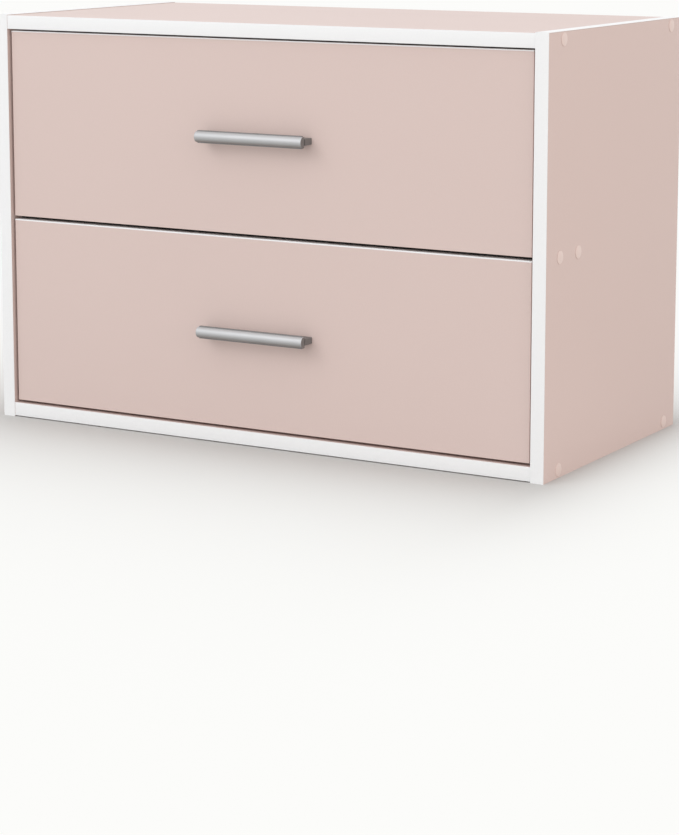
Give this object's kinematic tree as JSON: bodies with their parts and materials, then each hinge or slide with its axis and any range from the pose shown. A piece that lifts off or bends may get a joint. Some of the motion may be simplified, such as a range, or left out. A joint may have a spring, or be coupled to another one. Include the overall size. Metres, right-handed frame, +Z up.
{
  "type": "chest with drawers",
  "caption": "Low tabletop chest for discs: pastel-rose boards with white edges, inset drawers on roller runners, silver bar handles.",
  "frame": {"origin": "middle of the overall outline, with its handles, on the surface that the chest stands on", "axes": "+X across the width to the right as seen from the front, +Y towards the back, +Z up; the drawers pull out along -Y"},
  "size_m": [0.7222, 0.3782, 0.482],
  "materials": {
    "rose_board": "melamine-faced chipboard, pastel rose, satin",
    "white_edging": "white edging strip, satin",
    "rose_caps": "moulded plastic, pastel rose, satin",
    "hardboard": "thin hardboard, white-faced inside",
    "white_board": "melamine-faced chipboard, white, satin",
    "white_runner": "white powder coat on steel sheet",
    "roller_nylon": "natural nylon",
    "handle_bar": "satin silver",
    "handle_feet": "darker satin grey",
    "screw_steel": "zinc plated",
    "rivet_steel": "zinc plated",
    "cam_zinc": "die-cast zinc and plated steel",
    "dowel": "fluted beech, plain here"
  },
  "bodies": {
    "cabinet": {"left_side_panel": "rose_board", "right_side_panel": "rose_board", "top_panel": "rose_board", "bottom_panel": "rose_board", "divider_rail": "rose_board", "back_panel": "hardboard", "left_side_edging": "white_edging", "right_side_edging": "white_edging", "top_edging": "white_edging", "bottom_edging": "white_edging", "divider_rail_edging": "white_edging", "left_cover_caps": "rose_caps", "right_cover_caps": "rose_caps", "carcass_screws": "screw_steel", "carcass_dowels": "dowel", "back_nails": "screw_steel", "cabinet_runner_screws": "screw_steel", "cabinet_roller_pins": "rivet_steel", "upper_left_cabinet_runner": "white_runner", "upper_right_cabinet_runner": "white_runner", "lower_left_cabinet_runner": "white_runner", "lower_right_cabinet_runner": "white_runner"},
    "upper_drawer": {"upper_front": "rose_board", "upper_front_edging": "white_edging", "upper_handle_bar": "handle_bar", "upper_handle_feet": "handle_feet", "upper_handle_screws": "screw_steel", "upper_box_left_side": "white_board", "upper_box_right_side": "white_board", "upper_box_back": "white_board", "upper_box_bottom": "hardboard", "upper_left_drawer_runner": "white_runner", "upper_right_drawer_runner": "white_runner", "upper_drawer_runner_screws": "screw_steel", "upper_drawer_roller_pins": "rivet_steel", "upper_front_cams_and_bolts": "cam_zinc", "upper_box_screws": "screw_steel"},
    "lower_drawer": {"lower_front": "rose_board", "lower_front_edging": "white_edging", "lower_handle_bar": "handle_bar", "lower_handle_feet": "handle_feet", "lower_handle_screws": "screw_steel", "lower_box_left_side": "white_board", "lower_box_right_side": "white_board", "lower_box_back": "white_board", "lower_box_bottom": "hardboard", "lower_left_drawer_runner": "white_runner", "lower_right_drawer_runner": "white_runner", "lower_drawer_runner_screws": "screw_steel", "lower_drawer_roller_pins": "rivet_steel", "lower_front_cams_and_bolts": "cam_zinc", "lower_box_screws": "screw_steel"},
    "upper_left_front_roller": {"upper_left_front_roller": "roller_nylon"},
    "upper_right_front_roller": {"upper_right_front_roller": "roller_nylon"},
    "lower_left_front_roller": {"lower_left_front_roller": "roller_nylon"},
    "lower_right_front_roller": {"lower_right_front_roller": "roller_nylon"},
    "upper_left_rear_roller": {"upper_left_rear_roller": "roller_nylon"},
    "upper_right_rear_roller": {"upper_right_rear_roller": "roller_nylon"},
    "lower_left_rear_roller": {"lower_left_rear_roller": "roller_nylon"},
    "lower_right_rear_roller": {"lower_right_rear_roller": "roller_nylon"}
  },
  "joints": [
    {"name": "upper_drawer_slide", "type": "slide", "parent": "cabinet", "child": "upper_drawer", "axis": [0, -1, 0], "range_m": [0, 0.225]},
    {"name": "lower_drawer_slide", "type": "slide", "parent": "cabinet", "child": "lower_drawer", "axis": [0, -1, 0], "range_m": [0, 0.225]},
    {"name": "upper_left_front_roller_turn", "type": "hinge", "parent": "cabinet", "child": "upper_left_front_roller", "pos_m": [-0.3383, -0.13405, 0.263], "axis": [1, 0, 0], "range_deg": [0, 1172]},
    {"name": "upper_left_rear_roller_turn", "type": "hinge", "parent": "upper_drawer", "child": "upper_left_rear_roller", "pos_m": [-0.3383, 0.13695, 0.263], "axis": [1, 0, 0], "range_deg": [0, 1172]},
    {"name": "upper_right_front_roller_turn", "type": "hinge", "parent": "cabinet", "child": "upper_right_front_roller", "pos_m": [0.3383, -0.13405, 0.263], "axis": [1, 0, 0], "range_deg": [0, 1172]},
    {"name": "upper_right_rear_roller_turn", "type": "hinge", "parent": "upper_drawer", "child": "upper_right_rear_roller", "pos_m": [0.3383, 0.13695, 0.263], "axis": [1, 0, 0], "range_deg": [0, 1172]},
    {"name": "lower_left_front_roller_turn", "type": "hinge", "parent": "cabinet", "child": "lower_left_front_roller", "pos_m": [-0.3383, -0.13405, 0.0395], "axis": [1, 0, 0], "range_deg": [0, 1172]},
    {"name": "lower_left_rear_roller_turn", "type": "hinge", "parent": "lower_drawer", "child": "lower_left_rear_roller", "pos_m": [-0.3383, 0.13695, 0.0395], "axis": [1, 0, 0], "range_deg": [0, 1172]},
    {"name": "lower_right_front_roller_turn", "type": "hinge", "parent": "cabinet", "child": "lower_right_front_roller", "pos_m": [0.3383, -0.13405, 0.0395], "axis": [1, 0, 0], "range_deg": [0, 1172]},
    {"name": "lower_right_rear_roller_turn", "type": "hinge", "parent": "lower_drawer", "child": "lower_right_rear_roller", "pos_m": [0.3383, 0.13695, 0.0395], "axis": [1, 0, 0], "range_deg": [0, 1172]}
  ],
  "couplings": [
    {"joint": "upper_left_front_roller_turn", "follows": "upper_drawer_slide", "rad_per_m": 90.909},
    {"joint": "upper_left_rear_roller_turn", "follows": "upper_drawer_slide", "rad_per_m": 90.909},
    {"joint": "upper_right_front_roller_turn", "follows": "upper_drawer_slide", "rad_per_m": 90.909},
    {"joint": "upper_right_rear_roller_turn", "follows": "upper_drawer_slide", "rad_per_m": 90.909},
    {"joint": "lower_left_front_roller_turn", "follows": "lower_drawer_slide", "rad_per_m": 90.909},
    {"joint": "lower_left_rear_roller_turn", "follows": "lower_drawer_slide", "rad_per_m": 90.909},
    {"joint": "lower_right_front_roller_turn", "follows": "lower_drawer_slide", "rad_per_m": 90.909},
    {"joint": "lower_right_rear_roller_turn", "follows": "lower_drawer_slide", "rad_per_m": 90.909}
  ]
}
